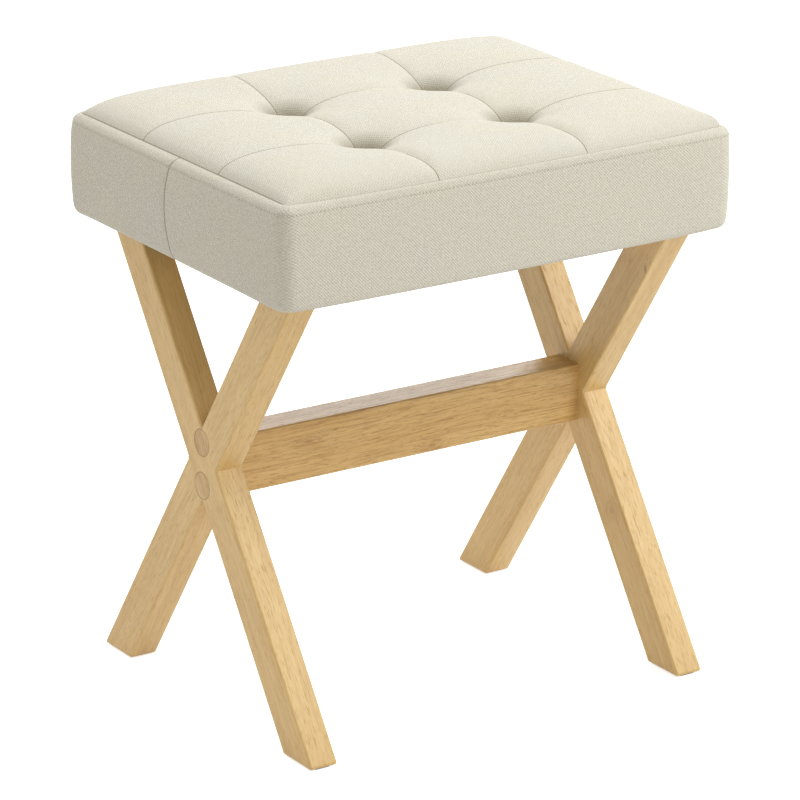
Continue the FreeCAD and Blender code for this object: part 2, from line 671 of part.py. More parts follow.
def build():
    back_leg = leg(1)
    front_leg = leg(-1)
    right_rail = rail()
    dust_staples = dust_staple_list()
    hem_staples = hem_staple_list()
    both_staples = dust_staples + hem_staples
    cells = crown_cells()
    nodes = {
        "leg_right_back_top": back_leg,
        "leg_right_front_top": front_leg,
        "leg_left_back_top": mirrored(back_leg),
        "leg_left_front_top": mirrored(front_leg),
        "stretcher": stretcher(),
        "wood_plugs": wood_plugs(),
        "stretcher_screws": stretcher_screws(),
        "stretcher_dowels": stretcher_dowels(),
        "seat_rail_right": right_rail,
        "seat_rail_left": mirrored(right_rail),
        "rail_screws": rail_screws(),
        "seat_bolts": seat_bolts(),
        "bolt_washers": bolt_washers(),
        "seat_nuts": seat_nuts(),
        "foot_pads": foot_pads(),
        "seat_board": seat_board(both_staples),
        "foam_pad": foam_pad(cells),
        "cover_band": cover_band(both_staples),
        "dust_cover": dust_cover(dust_staples),
        "hem_staples": Part.makeCompound(hem_staples),
        "dust_cover_staples": Part.makeCompound(dust_staples),
        "tuft_twines": tuft_twines(),
        "tuft_washers": tuft_washers(),
    }
    nodes.update(cover_panels(cells))
    return nodes


os.makedirs("parts", exist_ok=True)
for name, shape in build().items():
    shape.exportStep("parts/%s.step" % name)
    print("%-30s %2d solids %12.1f mm3 valid %s" % (name, len(shape.Solids), shape.Volume, shape.isValid()))
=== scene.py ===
"""Vanity stool: a padded seat with nine sewn panels on two crossed-leg frames and a stretcher."""
import math
import random

import bmesh
import bpy
from mathutils import Matrix, Vector, noise


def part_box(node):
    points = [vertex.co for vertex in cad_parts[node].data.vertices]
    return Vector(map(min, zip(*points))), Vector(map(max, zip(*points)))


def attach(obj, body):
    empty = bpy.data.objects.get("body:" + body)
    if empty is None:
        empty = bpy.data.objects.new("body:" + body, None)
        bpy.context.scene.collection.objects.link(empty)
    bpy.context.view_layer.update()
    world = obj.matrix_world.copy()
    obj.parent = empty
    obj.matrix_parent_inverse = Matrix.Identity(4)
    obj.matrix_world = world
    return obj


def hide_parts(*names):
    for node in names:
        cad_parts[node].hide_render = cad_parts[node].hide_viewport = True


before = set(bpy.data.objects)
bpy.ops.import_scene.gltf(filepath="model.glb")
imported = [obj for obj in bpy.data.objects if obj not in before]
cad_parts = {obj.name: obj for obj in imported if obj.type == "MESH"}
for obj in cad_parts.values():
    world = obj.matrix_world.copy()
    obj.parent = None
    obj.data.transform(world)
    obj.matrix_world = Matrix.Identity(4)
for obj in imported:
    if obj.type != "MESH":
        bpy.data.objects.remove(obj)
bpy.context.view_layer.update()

MM = 0.001

# Seat, in millimetres: the seam round the top, the hem, and the tufts that the panels' seams pass
SEAM_HALF_X = 191.8
SEAM_HALF_Y = 146.5
SEAM_CORNER = 5.0
SEAM_Z = 436.0
HEM_Z = 357.6
TUFT_X = 65.0
TUFT_Y = 53.4
SEAT_SHIFT_X = -2.8

# Seat: how far all sides bow out, the share that this may reach past the seam, how far the front
# and left seams bow besides, and how far into the top they draw the panels along
SIDE_BOW = 1.2
BOW_PAST_SEAM = 1.05
FRONT_SEAM_BOW = 5.0
LEFT_SEAM_BOW = -1.8
BOW_FADE = 60.0

# Seat: the mesh's steps round a corner, its even step, and the narrow strip beside each seam
CORNER_STEPS = 4
GRID_STEP = 4.6
CREASE = 1.2

# Padding: how high it stands, and how it rises from each side's seam: the share of a short steep
# lip, and the run of the rest
PUFF = 15.2
LIP_RUN = 3.6
LEFT_RISE = (0.24, 19.0)
RIGHT_RISE = (0.56, 31.0)
FRONT_RISE = (0.36, 13.5)
BACK_RISE = (0.15, 5.1)

# Padding: the tufts' hollows, as depths that fade over their spreads
TUFT_HOLLOW = ((10.0, 7.0), (9.2, 15.6), (15.2, 25.5))

# Padding: the sewn channels between the tufts and outside them, and the stretch near the back over
# which the channels across the seat lose a share of their depth
CHANNEL_SPREAD = 4.2
CHANNEL_CHANGE = 8.0
LONG_CHANNEL_OUTER = 1.0
LONG_CHANNEL_MIDDLE = 2.9
CROSS_CHANNEL_OUTER = 3.6
CROSS_CHANNEL_MIDDLE = 2.6
BACK_FADE = (75.0, 115.0)
BACK_FADE_SHARE = 0.8

# Band from the top seam down: how far out from that seam, and the level
BAND_PROFILE = (
    (0.9, 436.0), (2.2, 435.8), (3.7, 435.2), (5.3, 434.1), (6.6, 432.5), (7.3, 431.1),
    (7.5, 430.0), (7.8, 428.6), (8.3, 424.0), (8.7, 417.0), (8.95, 409.0), (9.05, 400.0),
    (9.0, 391.0), (8.8, 383.0), (8.45, 375.5), (8.1, 369.5), (7.7, 365.2), (7.2, 362.0),
    (6.2, 359.5), (4.5, 358.1), (2.5, 357.6),
)
WIDEST_OUT = max(out for out, level in BAND_PROFILE)

# Band: the row that the topstitching draws in, the puckers above it, and the sunken top seam
TOPSTITCH_ROW = 6
TOPSTITCH_PULL = 0.35
PUCKER = 0.45
PUCKER_SEED = 7
SEAM_SINK = 0.25
SEAM_SINK_WIDTH = 1.3

# Band: the upright seam on the left side, its sway, how far round it the cloth goes along, and its
# groove
UPRIGHT_SEAM_Y = 2.5
UPRIGHT_SEAM_BOW = 4.0
UPRIGHT_SEAM_REACH = 28.0
UPRIGHT_SEAM_DEPTH = 0.8
UPRIGHT_SEAM_WIDTH = 1.2

# Band: how far its corners are drawn in, over what run along the sides, and from how far down in
# full; those at the back stand out instead
CORNER_PULL = 0.7
BACK_CORNER_PULL = -0.6
CORNER_PULL_RUN = 13.0
CORNER_PULL_DOWN = 22.0

# Band: how its lower edge strays from level: the slope and the arch at the left end, the depth at
# which they are full, and the part turned under the seat, where they fade
HEM_SLOPE = 1.1
HEM_ARCH = 1.2
HEM_DOWN = 70.0
HEM_TURN = (2.2, 6.2)

# Values painted into the seat for its cloth: distances in millimetres, where the painted shade of the
# seam at the front shows faintly, and the weave's contrast on the top
PAINTED = ("seam_distance", "stitch_distance", "tuft_distance", "weave_contrast")
FRONT_SEAM_STRIP = 0.1
FAINT_SEAM_SHADE = 0.4
FAR_FROM_SEAM = 30.0
FAR_FROM_STITCHES = 5.0
FAR_FROM_TUFT = 60.0
TOP_CONTRAST = 0.45


# Colours

def colour(red, green, blue):
    """A colour written as it shows on a screen, 0 to 255, made linear."""
    out = []
    for level in (red, green, blue):
        share = level / 255
        out.append(share / 12.92 if share <= 0.04045 else ((share + 0.055) / 1.055) ** 2.4)
    return (*out, 1.0)


WHITE = (1, 1, 1, 1)


# Small builder for materials

class Finish:
    """A material under construction: its nodes are added one after another."""

    def __init__(self, name, roughness, metallic=0.0, sheen=0.0):
        self.material = bpy.data.materials.new(name)
        self.material.use_nodes = True
        self.tree = self.material.node_tree
        self.shader = self.tree.nodes["Principled BSDF"]
        self.shader.inputs["Roughness"].default_value = roughness
        self.shader.inputs["Metallic"].default_value = metallic
        self.shader.inputs["Sheen Weight"].default_value = sheen

    def fill(self, node, values):
        """Sets a node's inputs to plain values, or links them to another node's output."""
        for name, value in values.items():
            if isinstance(value, bpy.types.NodeSocket):
                self.tree.links.new(value, node.inputs[name])
            else:
                node.inputs[name].default_value = value

    def add(self, kind, values=None, **settings):
        node = self.tree.nodes.new(kind)
        for name, value in settings.items():
            setattr(node, name, value)
        self.fill(node, values or {})
        return node

    def where(self):
        """Places on the piece, in metres."""
        return self.add("ShaderNodeTexCoord").outputs["Object"]

    def painted(self, name):
        """A value painted into the mesh."""
        return self.add("ShaderNodeAttribute", attribute_name=name).outputs["Fac"]

    def math(self, operation, first, second=0.0, third=0.0):
        return self.add("ShaderNodeMath", {0: first, 1: second, 2: third},
                        operation=operation).outputs[0]

    def vector(self, operation, first, second=(0, 0, 0), result=0):
        return self.add("ShaderNodeVectorMath", {0: first, 1: second},
                        operation=operation).outputs[result]

    def place(self, source, turn=(0, 0, 0), stretch=(1, 1, 1), shift=(0, 0, 0)):
        """Coordinates turned, then moved, then stretched."""
        laid = self.add("ShaderNodeMapping", {"Vector": source, "Location": shift, "Rotation": turn})
        return self.add("ShaderNodeMapping",
                        {"Vector": laid.outputs[0], "Scale": stretch}).outputs[0]

    def noise(self, vector, scale=1.0, detail=2.0, roughness=0.5):
        return self.add("ShaderNodeTexNoise", {
            "Vector": vector, "Scale": scale, "Detail": detail, "Roughness": roughness}).outputs[0]

    def twist(self, scale, distortion=0.0):
        """Slanting bands, as on a twisted thread."""
        return self.add("ShaderNodeTexWave",
                        {"Vector": self.where(), "Scale": scale, "Distortion": distortion},
                        bands_direction="DIAGONAL").outputs["Fac"]

    def ramp(self, source, low, high):
        """A straight ramp from 0 at low to 1 at high."""
        return self.add("ShaderNodeMapRange", {
            "Value": source, "From Min": low, "From Max": high}, clamp=True).outputs[0]

    def mix(self, share, first, second):
        """Two colours mixed: the second's share is given."""
        node = self.add("ShaderNodeMix", data_type="RGBA")
        self.fill(node, {0: share, 6: first, 7: second})
        return node.outputs[2]

    def bump(self, height, depth, strength=1.0):
        node = self.add("ShaderNodeBump", {"Height": height, "Distance": depth, "Strength": strength})
        self.tree.links.new(node.outputs[0], self.shader.inputs["Normal"])

    def paint(self, source):
        self.tree.links.new(source, self.shader.inputs["Base Color"])

    def rough(self, source):
        self.tree.links.new(source, self.shader.inputs["Roughness"])


# Cloth of the cover: the pitch of its threads in millimetres, how far they wander in metres, and
# the scales of its slubs, flecks and broad patches

WEAVE_PITCH = 2.4
THREAD_WANDER = 0.0012
WANDER_SCALE = 70.0
SLUB_SCALES = (60, 1500)
FLECK_SCALE = 430
PATCH_SCALES = (16, 22)
YARN = colour(224, 222, 210)
SLUB = colour(232, 230, 219)

# Tones over the yarn: where each starts and where it is full, its strength and its colour. The first
# three are the cloth's own, the rest painted shade
BETWEEN_THREADS = (0.7, -1.0, 0.42, colour(184, 174, 149))
FLECKS = (0.42, 0.68, 0.34, colour(176, 164, 136))
WARM_PATCHES = (0.35, 0.7, 0.35, colour(224, 216, 192))
# Painted shade beside and in the seams, where the cloth creases
PAINTED_SHADE_BESIDE_SEAMS = (3.5, 0.0, 0.06, colour(170, 160, 132))
# Painted shade along the row of stitches, where the thread sinks into the cloth
PAINTED_SHADE_UNDER_STITCHES = (0.9, 0.1, 0.3, colour(150, 138, 112))
# Painted shade in the tufts' hollows, darkest at each tuft, where shade falls in the deep dip
PAINTED_TUFT_SHADE = (27.0, 8.0, 0.95, colour(140, 132, 108))
TUFT_SHADE_CURVE = 1.4
PAINTED_SEAM_SHADE = (0.62, 0.2, 1.0, colour(122, 106, 84))
SEAM_SHADE_WEIGHT = (0.4, 0.5)


def plain_weave(cloth, uv):
    """Even threads both ways that wander a little, as a pattern from -1 to 1."""
    drift = cloth.math("SUBTRACT", cloth.noise(uv, WANDER_SCALE), 0.5)
    wandered = cloth.vector("ADD", uv, cloth.math("MULTIPLY", drift, THREAD_WANDER))
    parts = cloth.add("ShaderNodeSeparateXYZ", {0: wandered}).outputs
    turns = 2 * math.pi / (WEAVE_PITCH * MM)
    warp = cloth.math("SINE", cloth.math("MULTIPLY", parts[0], turns))
    weft = cloth.math("SINE", cloth.math("MULTIPLY", parts[1], turns))
    return cloth.math("MULTIPLY", warp, weft)


def cover_cloth():
    """Cream linen-look weave with slubs and flecks, with painted shade in its seams, under its
    stitches and in its tufts.
    """
    cloth = Finish("cream_linen_weave", 0.92, sheen=0.12)
    uv = cloth.add("ShaderNodeUVMap", uv_map="weave").outputs[0]
    seam, stitches, tuft, contrast = [cloth.painted(name) for name in PAINTED]
    run, across = SLUB_SCALES
    slubs = cloth.math("ADD", cloth.noise(cloth.place(uv, stretch=(run, across, 1))),
                       cloth.noise(cloth.place(uv, stretch=(across, run, 1))))
    fleck = cloth.noise(cloth.place(uv, stretch=(FLECK_SCALE, FLECK_SCALE, 1)), 1.0, 4.0, 0.68)
    patches = cloth.noise(cloth.place(uv, stretch=(*PATCH_SCALES, 1)), 1.0, 3.0)
    weave = plain_weave(cloth, uv)

    def laid(tone, source, layer, curve=1.0, by=1.0):
        low, high, strength, tint = layer
        share = cloth.math("POWER", cloth.ramp(source, low, high), curve)
        share = cloth.math("MULTIPLY", cloth.math("MULTIPLY", share, strength), by)
        return cloth.mix(share, tone, tint)

    tone = cloth.mix(cloth.ramp(slubs, 0.7, 1.3), YARN, SLUB)
    tone = laid(tone, weave, BETWEEN_THREADS, by=contrast)
    tone = laid(tone, fleck, FLECKS, by=contrast)
    tone = laid(tone, patches, WARM_PATCHES)
    # painted shade beside the seams
    tone = laid(tone, seam, PAINTED_SHADE_BESIDE_SEAMS)
    # painted shade along the stitch row
    tone = laid(tone, stitches, PAINTED_SHADE_UNDER_STITCHES)
    # painted shade in the tufts' hollows
    tone = laid(tone, tuft, PAINTED_TUFT_SHADE, curve=TUFT_SHADE_CURVE)
    # painted shade in the seam creases, weaker on the top
    tone = laid(tone, seam, PAINTED_SEAM_SHADE, by=cloth.math("MULTIPLY_ADD", contrast, *SEAM_SHADE_WEIGHT))
    cloth.paint(tone)
    cloth.bump(cloth.math("ADD", weave, cloth.math("MULTIPLY", slubs, 1.1)), 0.0002, 0.9)
    return cloth.material


def stitch_thread():
    """Thread of the topstitching, twisted."""
    thread = Finish("cream_thread", 0.7, sheen=0.2)
    twist = thread.twist(900.0, 1.5)
    thread.paint(thread.mix(twist, colour(214, 207, 186), colour(246, 243, 230)))
    thread.bump(twist, 0.0001)
    return thread.material


def dust_cloth():
    """Black spunbond cloth: pressed dots over loose fibres."""
    felt = Finish("black_spunbond", 0.95, sheen=0.1)
    where = felt.where()
    dots = felt.add("ShaderNodeTexVoronoi", {"Vector": where, "Scale": 700.0}).outputs["Distance"]
    fibres = felt.noise(felt.place(where, stretch=(900, 300, 300)), 1.0, 3.0)
    felt.paint(felt.mix(fibres, colour(22, 22, 23), colour(52, 52, 54)))
    felt.bump(felt.math("ADD", dots, fibres), 0.0002)
    return felt.material


# Wood: the scales of its streaks along and across the grain, and how far these bend in metres, of
# themselves and round a knot

BENDS = (6, 26)
BROAD_STREAKS = (4, 60)
LINES = (14, 620)
FINE_LINES = (36, 1500)
PORES = (110, 1900)
GRAIN_BEND = 0.014
KNOT_BEND = 0.008

# Wood: tones as pale, middle and dark, and those of knots and of the plugs' rims
LEG_TONES = (colour(237, 205, 141), colour(221, 183, 116), colour(170, 124, 66))
BAR_TONES = (colour(230, 193, 127), colour(214, 172, 103), colour(160, 108, 46))
PLUG_TONES = (colour(230, 197, 138), colour(212, 174, 112), colour(170, 126, 70))
KNOT_TONE = colour(156, 100, 40)
RIM_TONE = colour(120, 84, 46)

# Wood: how many radians of rings a knot has, their depth and mean, and the rim of a plug: where it
# starts and is full, in from the plug's edge, and its strength
KNOT_RINGS = 15.0
KNOT_RING_DEPTH = 0.22
KNOT_RING_MEAN = 0.7
RIM_START = 0.0013
RIM_FULL = 0.0002
RIM_STRENGTH = 0.45


def knot_shade(finish, where, knots):
    """Share of darkness that the knots give: rings that fade outwards."""
    shade = 0.0
    for centre, reach, darkness in knots:
        away = finish.vector("DIVIDE", finish.vector("SUBTRACT", where, centre), reach)
        gap = finish.vector("LENGTH", away, result="Value")
        rings = finish.math("SINE", finish.math("MULTIPLY", gap, KNOT_RINGS))
        rings = finish.math("MULTIPLY_ADD", rings, KNOT_RING_DEPTH, KNOT_RING_MEAN)
        spot = finish.math("MULTIPLY", finish.ramp(gap, 1.0, 0.15), rings)
        shade = finish.math("MAXIMUM", finish.math("MULTIPLY", spot, darkness), shade)
    return shade


def rim_shade(finish, where, radius, centres):
    """Share of darkness round the edge of each plug, whose axes run along X."""
    flat = finish.vector("MULTIPLY", where, (0, 1, 1))
    gaps = [finish.vector("DISTANCE", flat, centre, result="Value") for centre in centres]
    nearest = gaps[0]
    for gap in gaps[1:]:
        nearest = finish.math("MINIMUM", nearest, gap)
    return finish.ramp(nearest, radius - RIM_START, radius - RIM_FULL)


def wood(name, lean, along, shift, tones, line_strength, knots=(), rims=None):
    """Pale lacquered wood whose grain runs along one axis, once a leaning leg is turned upright.

    tones are the pale, middle and dark colours; knots are (centre, reach, darkness) on the stool;
    rims are the plugs' radius and centres.
    """
    finish = Finish(name, 0.4)
    where = finish.where()
    grain = finish.place(where, turn=(lean, 0, 0), shift=shift)

    def streaks(source, scales, detail, roughness=0.5):
        stretch = [scales[0] if axis == along else scales[1] for axis in "XYZ"]
        return finish.noise(finish.place(source, stretch=stretch), 1.0, detail, roughness)

    knotted = knot_shade(finish, where, knots)
    bend = finish.math("SUBTRACT", streaks(grain, BENDS, 3.0), 0.5)
    bend = finish.math("ADD", finish.math("MULTIPLY", bend, GRAIN_BEND),
                       finish.math("MULTIPLY", knotted, KNOT_BEND))
    bent = finish.vector("ADD", grain, bend)
    broad = streaks(bent, BROAD_STREAKS, 3.0)
    lines = streaks(bent, LINES, 4.0, 0.7)
    fine = streaks(bent, FINE_LINES, 3.0, 0.6)
    pores = finish.ramp(streaks(bent, PORES, 1.0), 0.62, 0.68)
    pale, middle, dark = tones
    base = finish.mix(finish.ramp(broad, 0.3, 0.7), pale, middle)
    line_share = finish.math("MULTIPLY", finish.ramp(lines, 0.47, 0.64), line_strength)
    base = finish.mix(line_share, base, dark)
    base = finish.mix(finish.math("MULTIPLY", finish.ramp(fine, 0.45, 0.62), 0.5), base, middle)
    base = finish.mix(finish.math("MULTIPLY", pores, 0.2 + 0.4 * line_strength), base, dark)
    base = finish.mix(knotted, base, KNOT_TONE)
    if rims is not None:
        rim = finish.math("MULTIPLY", rim_shade(finish, where, *rims), RIM_STRENGTH)
        base = finish.mix(rim, base, RIM_TONE)
    finish.paint(base)
    finish.rough(finish.ramp(finish.math("ADD", fine, pores), -0.8, 2.6))
    finish.bump(finish.math("SUBTRACT", finish.math("MULTIPLY", lines, 0.6), pores), 0.00018, 0.6)
    return finish.material


# Metal, felt, board and twine, and the thickness of two of the board's plies in metres

PLY_PAIR = 0.0034


def metal(name, bright, dark, roughness, grain_scale):
    """Plated steel with fine tool marks."""
    steel = Finish(name, roughness, metallic=1.0)
    marks = steel.noise(steel.where(), grain_scale, 3.0)
    steel.paint(steel.mix(marks, dark, bright))
    steel.rough(steel.ramp(marks, -0.6 + roughness, 1.6))
    steel.bump(marks, 0.00003)
    return steel.material


def felt_pad():
    """Pressed grey felt."""
    felt = Finish("grey_felt", 0.98, sheen=0.2)
    fibres = felt.noise(felt.where(), 1400.0, 4.0)
    felt.paint(felt.mix(fibres, colour(96, 92, 88), colour(150, 146, 140)))
    felt.bump(fibres, 0.0003)
    return felt.material


def plywood():
    """Plies seen on the edges, rotary-cut grain on the faces."""
    ply = Finish("birch_plywood", 0.7)
    where = ply.where()
    height = ply.add("ShaderNodeSeparateXYZ", {0: where}).outputs[2]
    plies = ply.math("SINE", ply.math("MULTIPLY", height, 2 * math.pi / PLY_PAIR))
    figure = ply.noise(ply.place(where, stretch=(6, 60, 60)), 1.0, 3.0)
    base = ply.mix(figure, colour(214, 184, 140), colour(188, 152, 104))
    dark_plies = ply.math("MULTIPLY", ply.ramp(plies, 0.0, 1.0), 0.35)
    ply.paint(ply.mix(dark_plies, base, colour(140, 104, 66)))
    ply.bump(figure, 0.0001)
    return ply.material


def twine():
    """Waxed and twisted cord of the tufts."""
    cord = Finish("waxed_twine", 0.8)
    twist = cord.twist(420.0)
    cord.paint(cord.mix(twist, colour(176, 160, 124), colour(222, 210, 180)))
    cord.bump(twist, 0.0002)
    return cord.material


# Seat: its outline

def limited(share):
    """A share kept from 0 to 1."""
    return max(0.0, min(1.0, share))


def grid_lines(stops):
    """Places of grid lines: even steps, with a line close after and before each stop."""
    half = stops[-1]
    out = [-half + SEAM_CORNER * k / CORNER_STEPS for k in range(CORNER_STEPS)]
    inner = [-half + SEAM_CORNER, *stops[1:-1], half - SEAM_CORNER]
    for low, high in zip(inner, inner[1:]):
        steps = max(1, round((high - low - 2 * CREASE) / GRID_STEP))
        run = (high - low - 2 * CREASE) / steps
        out += [low] + [low + CREASE + run * k for k in range(steps + 1)]
    out += [half - SEAM_CORNER * k / CORNER_STEPS for k in range(CORNER_STEPS, -1, -1)]
    return out


def on_outline(x, y):
    """A point of the square-cornered grid moved onto the round-cornered outline, and the way out."""
    flat_x, flat_y = SEAM_HALF_X - SEAM_CORNER, SEAM_HALF_Y - SEAM_CORNER
    over_x, over_y = abs(x) - flat_x, abs(y) - flat_y
    if over_x <= 0 or over_y <= 0:
        if math.isclose(over_x, SEAM_CORNER):
            return x, y, math.copysign(1, x), 0
        return x, y, 0, math.copysign(1, y)
    reach = max(over_x, over_y)
    turn = math.pi / 4 * min(over_x, over_y) / reach
    if over_y > over_x:
        turn = math.pi / 2 - turn
    way_x, way_y = math.copysign(math.cos(turn), x), math.copysign(math.sin(turn), y)
    return (math.copysign(flat_x, x) + reach * way_x, math.copysign(flat_y, y) + reach * way_y,
            way_x, way_y)


def bowed(x, y):
    """Sides that bow out a little between their corners."""
    part_x, part_y = abs(x) / SEAM_HALF_X, abs(y) / SEAM_HALF_Y
    out_x = SIDE_BOW * (1 - min(1, part_y) ** 2) * min(BOW_PAST_SEAM, part_x)
    out_y = SIDE_BOW * (1 - min(1, part_x) ** 2) * min(BOW_PAST_SEAM, part_y)
    return x + math.copysign(out_x, x), y + math.copysign(out_y, y)


def front_bow(x):
    """How far the seam at the front bows out: nearly all along, but not at its corners."""
    return FRONT_SEAM_BOW * (1 - abs(x / SEAM_HALF_X) ** 4)


def left_bow(y):
    """How far the seam at the left bows out; it is below 0, as that seam is drawn in."""
    return LEFT_SEAM_BOW * (1 - (y / SEAM_HALF_Y) ** 2)


def seam_bow(x, y, way):
    """How far the top seam bows out on the side that faces a way."""
    if round(way.y, 6) == -1:
        return front_bow(x)
    if round(way.x, 6) == -1:
        return left_bow(y)
    return 0.0


def eased(out, bow):
    """The band's way out, from a seam that has bowed to a widest line that hasn't."""
    return bow + out * (1 - bow / WIDEST_OUT)


def pulled(x, y):
    """A place on the top, drawn along with the bowed seams near it."""
    to_front = limited(1 - (SEAM_HALF_Y + y) / BOW_FADE)
    to_left = limited(1 - (SEAM_HALF_X + x) / BOW_FADE)
    return x - left_bow(y) * to_left, y - front_bow(x) * to_front


# Seat: its padding

def rise(gap, shape):
    """Share of the full height at a gap from a side's seam."""
    lip, run = shape
    gap = max(gap, 0.0)
    return 1 - lip * math.exp(-gap / LIP_RUN) - (1 - lip) * math.exp(-gap / run)


def channel(gap, along, end, outer, middle):
    """Depth of a sewn channel; it changes from middle to outer where it passes a tuft."""
    share = 1 / (1 + math.exp((abs(along) - end) / CHANNEL_CHANGE))
    return (outer + (middle - outer) * share) * math.exp(-abs(gap) / CHANNEL_SPREAD)


def padding_height(x, y):
    """How far the top stands above its seam at a place."""
    near, far = BACK_FADE
    fade = 1 - BACK_FADE_SHARE * limited((y - near) / (far - near))
    height = PUFF
    height -= channel(abs(y) - TUFT_Y, x, TUFT_X, LONG_CHANNEL_OUTER, LONG_CHANNEL_MIDDLE)
    height -= fade * channel(abs(x) - TUFT_X, y, TUFT_Y, CROSS_CHANNEL_OUTER, CROSS_CHANNEL_MIDDLE)
    along_x = rise(SEAM_HALF_X + x, LEFT_RISE) * rise(SEAM_HALF_X - x, RIGHT_RISE)
    along_front = rise(SEAM_HALF_Y + y, FRONT_RISE)
    # A lean corner has the product of both rises, a full one the lower of them
    full = 0.5 + 0.5 * max(0.0, x / SEAM_HALF_X)
    height *= (1 - full) * along_x * along_front + full * min(along_x, along_front)
    height *= rise(SEAM_HALF_Y - y, BACK_RISE)
    for tuft_x in (-TUFT_X, TUFT_X):
        for tuft_y in (-TUFT_Y, TUFT_Y):
            gap = math.hypot(x - tuft_x, y - tuft_y)
            height -= sum(depth * math.exp(-gap / spread) for depth, spread in TUFT_HOLLOW)
    return height


def seam_gap(x, y):
    """Distance from a place on the top to the nearest seam."""
    return max(0.0, min(abs(abs(x) - TUFT_X), abs(abs(y) - TUFT_Y),
                        SEAM_HALF_X - abs(x), SEAM_HALF_Y - abs(y)))


# Seat: its band

def corner_pull(foot, level):
    """How far the band is drawn in near its upright corners, below the top seam."""
    away = SEAM_HALF_X - abs(foot.x) + SEAM_HALF_Y - abs(foot.y)
    share = limited((SEAM_Z - level) / CORNER_PULL_DOWN)
    pull = CORNER_PULL if foot.y < 0 else BACK_CORNER_PULL
    return pull * share * math.exp(-(away / CORNER_PULL_RUN) ** 2)


def hem_stray(foot, out, level):
    """How far the band's lower edge strays from level, more so at the left."""
    left = ((1 - foot.x / SEAM_HALF_X) / 2) ** 2
    under, side = HEM_TURN
    turned = limited((out - under) / (side - under))
    down = limited((SEAM_Z - level) / HEM_DOWN) ** 2
    along = foot.y / SEAM_HALF_Y
    return left * down * turned * (HEM_ARCH * (1 - along ** 2) + HEM_SLOPE * along)


def upright_seam(vert, layers, down, level):
    """A point of the left side, moved along with the swaying upright seam and sunk near it."""
    gap = abs(vert[layers["foot"]].y - UPRIGHT_SEAM_Y)
    share = limited((level - HEM_Z) / (SEAM_Z - HEM_Z))
    sway = UPRIGHT_SEAM_BOW * (2 * math.sin(math.pi * share) - 1)
    vert.co.y += sway * max(0.0, 1 - gap / UPRIGHT_SEAM_REACH) ** 2
    vert.co.x += UPRIGHT_SEAM_DEPTH * math.exp(-gap / UPRIGHT_SEAM_WIDTH)
    vert[layers["seam_distance"]] = min(down, gap)


def band(bm, layers, rim):
    """Pulls the band out of the top's rim, row by row along its profile, and gives its last edges."""
    chance = random.Random(PUCKER_SEED)
    down = 0.0
    last = (0.0, SEAM_Z - SEAM_SINK)
    for number, (out, level) in enumerate(BAND_PROFILE):
        grown = bmesh.ops.extrude_edge_only(bm, edges=rim)["geom"]
        rim = [item for item in grown if isinstance(item, bmesh.types.BMEdge) and item.is_boundary]
        down += math.dist(last, (out, level))
        last = (out, level)
        marked = limited(number / TOPSTITCH_ROW)
        for vert in dict.fromkeys(vert for edge in rim for vert in edge.verts):
            foot, way = vert[layers["foot"]], vert[layers["way_out"]]
            inward = TOPSTITCH_PULL if number == TOPSTITCH_ROW else corner_pull(foot, level)
            if 0 < number < TOPSTITCH_ROW - 1:
                inward += PUCKER * chance.uniform(-1, 1)
            reach = eased(out, seam_bow(foot.x, foot.y, way)) - inward
            vert.co = foot + way * reach
            vert.co.z = level + hem_stray(foot, out, level)
            vert[layers["seam_distance"]] = down
            vert[layers["stitch_distance"]] = min(
                FAR_FROM_STITCHES, abs(level - BAND_PROFILE[TOPSTITCH_ROW][1]))
            vert[layers["tuft_distance"]] = FAR_FROM_TUFT
            vert[layers["weave_contrast"]] = TOP_CONTRAST + (1 - TOP_CONTRAST) * marked
            if way.x == -1:
                upright_seam(vert, layers, down, level)
    return rim


# Seat: its mesh

def flat_sheets(bm, layers):
    """Lays two grids with the seam's outline at the hem's level, and gives the lower one's points."""
    lines_x = grid_lines((-SEAM_HALF_X, -TUFT_X, TUFT_X, SEAM_HALF_X))
    lines_y = grid_lines((-SEAM_HALF_Y, -TUFT_Y, UPRIGHT_SEAM_Y, TUFT_Y, SEAM_HALF_Y))
    columns, rows = len(lines_x) - 1, len(lines_y) - 1
    bmesh.ops.create_grid(bm, x_segments=columns, y_segments=rows, size=0.5)
    for vert in bm.verts:
        column, row = round((vert.co.x + 0.5) * columns), round((vert.co.y + 0.5) * rows)
        x, y, way_x, way_y = on_outline(lines_x[column], lines_y[row])
        vert[layers["foot"]] = (x, y, 0)
        vert[layers["way_out"]] = (way_x, way_y, 0)
        vert[layers["seam_distance"]] = FAR_FROM_SEAM
        vert[layers["stitch_distance"]] = FAR_FROM_STITCHES
        vert[layers["tuft_distance"]] = FAR_FROM_TUFT
        vert[layers["weave_contrast"]] = TOP_CONTRAST
        vert.co = (x, y, HEM_Z)
    copied = bmesh.ops.duplicate(bm, geom=bm.verts[:] + bm.edges[:] + bm.faces[:])["geom"]
    faces = [item for item in copied if isinstance(item, bmesh.types.BMFace)]
    bmesh.ops.reverse_faces(bm, faces=faces)
    return {item for item in copied if isinstance(item, bmesh.types.BMVert)}


def raise_top(vert, layers):
    """A point of the top lifted by the padding under it, with its distances painted in."""
    foot = vert[layers["foot"]]
    gap = seam_gap(foot.x, foot.y)
    on_front = SEAM_HALF_Y + foot.y < FRONT_SEAM_STRIP
    # the seam at the front keeps only faint painted shade
    vert[layers["seam_distance"]] = max(gap, FAINT_SEAM_SHADE) if on_front else gap
    vert[layers["tuft_distance"]] = math.hypot(abs(foot.x) - TUFT_X, abs(foot.y) - TUFT_Y)
    sunk = SEAM_SINK * math.exp(-gap / SEAM_SINK_WIDTH)
    vert.co = (*pulled(foot.x, foot.y), SEAM_Z + padding_height(foot.x, foot.y) - sunk)


